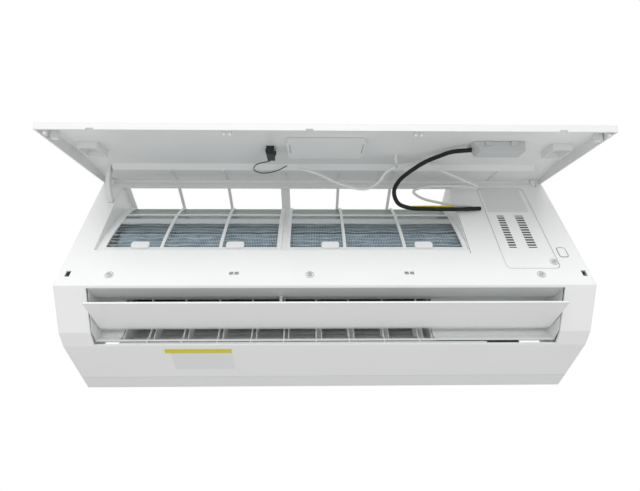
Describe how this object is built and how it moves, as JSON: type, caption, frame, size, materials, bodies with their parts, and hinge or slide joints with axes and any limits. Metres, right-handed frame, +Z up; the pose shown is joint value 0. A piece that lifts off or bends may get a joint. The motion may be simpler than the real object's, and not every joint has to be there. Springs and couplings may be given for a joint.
{
  "type": "mini split indoor unit",
  "caption": "Wall-hung air handler: hinged front panel shown swung open over two slide-in filters, with fan, coils, louvre and swing vanes.",
  "frame": {"origin": "centre of the mounting plate's wall side, on the wall plane", "axes": "+X along the casing to the right as seen from the room, +Y into the wall, +Z up"},
  "size_m": [0.802, 0.3925, 0.3074],
  "materials": {
    "casing_white": "satin",
    "base_white": "matte",
    "galvanised_sheet": "satin",
    "duct_white": "satin",
    "tray_grey": "matte",
    "screw_steel": "bright",
    "coil_fins": "coated, fine vertical fins",
    "pipe_copper": "drawn",
    "nut_brass": "machined",
    "hose_grey": "ribbed",
    "fan_grey": "matte",
    "bearing_rubber": "matte",
    "motor_metal": "satin",
    "board_green": "matte",
    "terminal_black": "matte",
    "lead_black": "satin",
    "lead_white": "satin",
    "lead_yellow": "satin",
    "filter_white": "satin",
    "filter_net": "fine woven net",
    "panel_inside": "gloss outside, satin inside",
    "module_grey": "satin",
    "plug_black": "satin",
    "link_white": "matte"
  },
  "bodies": {
    "casing": {"front_frame": "casing_white", "rear_base": "base_white", "mounting_plate": "galvanised_sheet", "outlet_frame": "duct_white", "drain_tray": "tray_grey", "deck_screw_1": "screw_steel", "deck_screw_2": "screw_steel", "deck_screw_3": "screw_steel", "coil_lower": "coil_fins", "coil_upper": "coil_fins", "coil_rear": "coil_fins", "end_plate_left": "galvanised_sheet", "end_plate_right": "galvanised_sheet", "gas_pipe": "pipe_copper", "liquid_pipe": "pipe_copper", "gas_nut": "nut_brass", "liquid_nut": "nut_brass", "drain_hose": "hose_grey", "fan_bearing": "bearing_rubber", "fan_motor": "motor_metal", "motor_clamp": "base_white", "control_box": "base_white", "control_board": "board_green", "terminal_block": "terminal_black", "terminal_cover": "casing_white", "cover_screw": "screw_steel", "black_lead": "lead_black", "white_lead": "lead_white", "white_band": "lead_white", "yellow_lead": "lead_yellow", "louvre_motor": "motor_metal", "push_switch": "terminal_black"},
    "panel": {"front_panel": "panel_inside", "module_holder": "module_grey", "display_module": "module_grey", "sensor_plug": "plug_black", "sensor_lead": "lead_black"},
    "fan": {"fan_wheel": "fan_grey"},
    "louvre_blade": {"louvre": "casing_white"},
    "swing_vane_1": {"vane_1": "duct_white"},
    "swing_vane_2": {"vane_2": "duct_white"},
    "swing_vane_3": {"vane_3": "duct_white"},
    "swing_vane_4": {"vane_4": "duct_white"},
    "swing_vane_5": {"vane_5": "duct_white"},
    "swing_vane_6": {"vane_6": "duct_white"},
    "swing_vane_7": {"vane_7": "duct_white"},
    "swing_vane_8": {"vane_8": "duct_white"},
    "swing_vane_9": {"vane_9": "duct_white"},
    "vane_link_left": {"link_left": "link_white"},
    "vane_link_right": {"link_right": "link_white"},
    "filter_left": {"filter_frame_left": "filter_white", "filter_net_left": "filter_net"},
    "filter_right": {"filter_frame_right": "filter_white", "filter_net_right": "filter_net"},
    "button": {"manual_button": "casing_white"}
  },
  "joints": [
    {"name": "panel_hinge", "type": "hinge", "parent": "casing", "child": "panel", "pos_m": [0, -0.199, 0.1445], "axis": [-1, 0, 0], "range_deg": [-57.6, 7.4], "deforming": ["black_lead", "white_lead", "white_band"]},
    {"name": "fan_spin", "type": "hinge", "parent": "casing", "child": "fan", "pos_m": [0, -0.098, -0.03], "axis": [1, 0, 0], "continuous": true},
    {"name": "louvre_swing", "type": "hinge", "parent": "casing", "child": "louvre_blade", "pos_m": [0, -0.1615, -0.105], "axis": [1, 0, 0], "range_deg": [-38, 17]},
    {"name": "vane_1_swing", "type": "hinge", "parent": "casing", "child": "swing_vane_1", "pos_m": [-0.27, -0.106, -0.09], "axis": [0, 0, 1], "range_deg": [-25, 25]},
    {"name": "vane_2_swing", "type": "hinge", "parent": "casing", "child": "swing_vane_2", "pos_m": [-0.217, -0.106, -0.09], "axis": [0, 0, 1], "range_deg": [-25, 25]},
    {"name": "vane_3_swing", "type": "hinge", "parent": "casing", "child": "swing_vane_3", "pos_m": [-0.163, -0.106, -0.09], "axis": [0, 0, 1], "range_deg": [-25, 25]},
    {"name": "vane_4_swing", "type": "hinge", "parent": "casing", "child": "swing_vane_4", "pos_m": [-0.111, -0.106, -0.09], "axis": [0, 0, 1], "range_deg": [-25, 25]},
    {"name": "vane_5_swing", "type": "hinge", "parent": "casing", "child": "swing_vane_5", "pos_m": [-0.0605, -0.106, -0.09], "axis": [0, 0, 1], "range_deg": [-25, 25]},
    {"name": "vane_6_swing", "type": "hinge", "parent": "casing", "child": "swing_vane_6", "pos_m": [-0.01, -0.106, -0.09], "axis": [0, 0, 1], "range_deg": [-45, 5]},
    {"name": "vane_7_swing", "type": "hinge", "parent": "casing", "child": "swing_vane_7", "pos_m": [0.041, -0.106, -0.09], "axis": [0, 0, 1], "range_deg": [-45, 5]},
    {"name": "vane_8_swing", "type": "hinge", "parent": "casing", "child": "swing_vane_8", "pos_m": [0.0956, -0.106, -0.09], "axis": [0, 0, 1], "range_deg": [-45, 5]},
    {"name": "vane_9_swing", "type": "hinge", "parent": "casing", "child": "swing_vane_9", "pos_m": [0.15, -0.106, -0.09], "axis": [0, 0, 1], "range_deg": [-45, 5]},
    {"name": "link_left_slide", "type": "slide", "parent": "casing", "child": "vane_link_left", "axis": [1, 0, 0], "range_m": [-0.00422, 0.00422]},
    {"name": "link_right_slide", "type": "slide", "parent": "casing", "child": "vane_link_right", "axis": [1, 0, 0], "range_m": [-0.00084, 0.0076]},
    {"name": "filter_left_lift", "type": "hinge", "parent": "casing", "child": "filter_left", "pos_m": [0, -0.058, 0.135], "axis": [-1, 0, 0], "range_deg": [0, 7]},
    {"name": "filter_right_lift", "type": "hinge", "parent": "casing", "child": "filter_right", "pos_m": [0, -0.058, 0.135], "axis": [-1, 0, 0], "range_deg": [0, 7]},
    {"name": "button_press", "type": "slide", "parent": "casing", "child": "button", "axis": [0, 1, 0], "range_m": [0, 0.0015], "stiffness_N_per_m": 800, "springref_m": -0.0008}
  ],
  "couplings": [
    {"joint": "vane_1_swing", "follows": "link_left_slide", "rad_per_m": -103.25},
    {"joint": "vane_2_swing", "follows": "link_left_slide", "rad_per_m": -103.25},
    {"joint": "vane_3_swing", "follows": "link_left_slide", "rad_per_m": -103.25},
    {"joint": "vane_4_swing", "follows": "link_left_slide", "rad_per_m": -103.25},
    {"joint": "vane_5_swing", "follows": "link_left_slide", "rad_per_m": -103.25},
    {"joint": "vane_6_swing", "follows": "link_right_slide", "rad_per_m": -103.25},
    {"joint": "vane_7_swing", "follows": "link_right_slide", "rad_per_m": -103.25},
    {"joint": "vane_8_swing", "follows": "link_right_slide", "rad_per_m": -103.25},
    {"joint": "vane_9_swing", "follows": "link_right_slide", "rad_per_m": -103.25}
  ]
}
